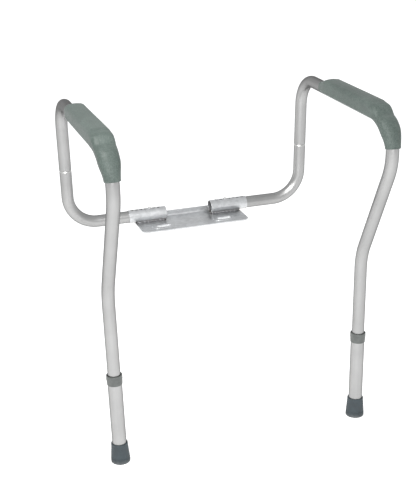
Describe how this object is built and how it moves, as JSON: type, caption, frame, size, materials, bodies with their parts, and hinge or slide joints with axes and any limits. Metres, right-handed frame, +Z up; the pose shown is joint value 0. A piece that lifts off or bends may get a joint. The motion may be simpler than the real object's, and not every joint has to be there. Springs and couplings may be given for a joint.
{
  "type": "toilet safety frame",
  "caption": "Bent-tube armrest frame that is held under a toilet seat's bolts, with padded arms, sliding legs with rubber tips, and snap-button settings for height and width.",
  "frame": {"origin": "on the underside of the bracket, midway between the two seat bolts; the floor is 371.6 mm below", "axes": "+Z up, +X to the right as seen from the front, +Y towards the back, so the legs stand in front at -Y"},
  "size_m": [0.588, 0.458, 0.6938],
  "materials": {
    "tube_aluminium": "satin anodised, drawn along the tube",
    "bracket_steel": "zinc plated, satin",
    "spring_steel": "oiled spring strip",
    "button_steel": "nickel plated, smooth",
    "pad_foam": "soft grey-green self-skinned foam, matte, fine mottled grain",
    "collar_plastic": "moulded grey plastic, fine grain",
    "tip_rubber": "slate grey moulded rubber, matte"
  },
  "bodies": {
    "bracket": {"mounting_plate": "bracket_steel", "socket_left": "bracket_steel", "socket_right": "bracket_steel"},
    "rear_left": {"rear_tube_left": "tube_aluminium", "rear_spring_left": "spring_steel", "width_spring_left": "spring_steel"},
    "width_button_left": {"width_button_left": "button_steel"},
    "rear_button_left": {"rear_button_left": "button_steel"},
    "arm_left": {"arm_tube_left": "tube_aluminium", "armrest_pad_left": "pad_foam", "height_spring_left": "spring_steel"},
    "height_button_left": {"height_button_left": "button_steel"},
    "leg_left": {"leg_extension_left": "tube_aluminium", "leg_collar_left": "collar_plastic", "foot_tip_left": "tip_rubber", "tip_washer_left": "bracket_steel"},
    "rear_right": {"rear_tube_right": "tube_aluminium", "rear_spring_right": "spring_steel", "width_spring_right": "spring_steel"},
    "width_button_right": {"width_button_right": "button_steel"},
    "rear_button_right": {"rear_button_right": "button_steel"},
    "arm_right": {"arm_tube_right": "tube_aluminium", "armrest_pad_right": "pad_foam", "height_spring_right": "spring_steel"},
    "height_button_right": {"height_button_right": "button_steel"},
    "leg_right": {"leg_extension_right": "tube_aluminium", "leg_collar_right": "collar_plastic", "foot_tip_right": "tip_rubber", "tip_washer_right": "bracket_steel"}
  },
  "joints": [
    {"name": "width_slide_left", "type": "slide", "parent": "bracket", "child": "rear_left", "axis": [-1, 0, 0], "range_m": [-0.02, 0.04]},
    {"name": "width_press_left", "type": "slide", "parent": "rear_left", "child": "width_button_left", "axis": [0, 0, -1], "range_m": [0, 0.0044], "stiffness_N_per_m": 800, "springref_m": -0.002, "deforming": ["width_spring_left"]},
    {"name": "rear_press_left", "type": "slide", "parent": "rear_left", "child": "rear_button_left", "axis": [0, -1, 0], "range_m": [0, 0.0046], "stiffness_N_per_m": 800, "springref_m": -0.002, "deforming": ["rear_spring_left"]},
    {"name": "arm_lift_left", "type": "slide", "parent": "rear_left", "child": "arm_left", "axis": [-0.018, 0, 0.9998], "range_m": [0, 0.108]},
    {"name": "height_press_left", "type": "slide", "parent": "arm_left", "child": "height_button_left", "axis": [-0.0005, -0.9996, 0.03], "range_m": [0, 0.0044], "stiffness_N_per_m": 800, "springref_m": -0.002, "deforming": ["height_spring_left"]},
    {"name": "height_slide_left", "type": "slide", "parent": "arm_left", "child": "leg_left", "axis": [0.018, -0.03, -0.9994], "range_m": [-0.04, 0.08]},
    {"name": "width_slide_right", "type": "slide", "parent": "bracket", "child": "rear_right", "axis": [1, 0, 0], "range_m": [-0.02, 0.04]},
    {"name": "width_press_right", "type": "slide", "parent": "rear_right", "child": "width_button_right", "axis": [0, 0, -1], "range_m": [0, 0.0044], "stiffness_N_per_m": 800, "springref_m": -0.002, "deforming": ["width_spring_right"]},
    {"name": "rear_press_right", "type": "slide", "parent": "rear_right", "child": "rear_button_right", "axis": [0, -1, 0], "range_m": [0, 0.0046], "stiffness_N_per_m": 800, "springref_m": -0.002, "deforming": ["rear_spring_right"]},
    {"name": "arm_lift_right", "type": "slide", "parent": "rear_right", "child": "arm_right", "axis": [0.018, 0, 0.9998], "range_m": [0, 0.108]},
    {"name": "height_press_right", "type": "slide", "parent": "arm_right", "child": "height_button_right", "axis": [0.0005, -0.9996, 0.03], "range_m": [0, 0.0044], "stiffness_N_per_m": 800, "springref_m": -0.002, "deforming": ["height_spring_right"]},
    {"name": "height_slide_right", "type": "slide", "parent": "arm_right", "child": "leg_right", "axis": [-0.018, -0.03, -0.9994], "range_m": [-0.04, 0.08]}
  ]
}
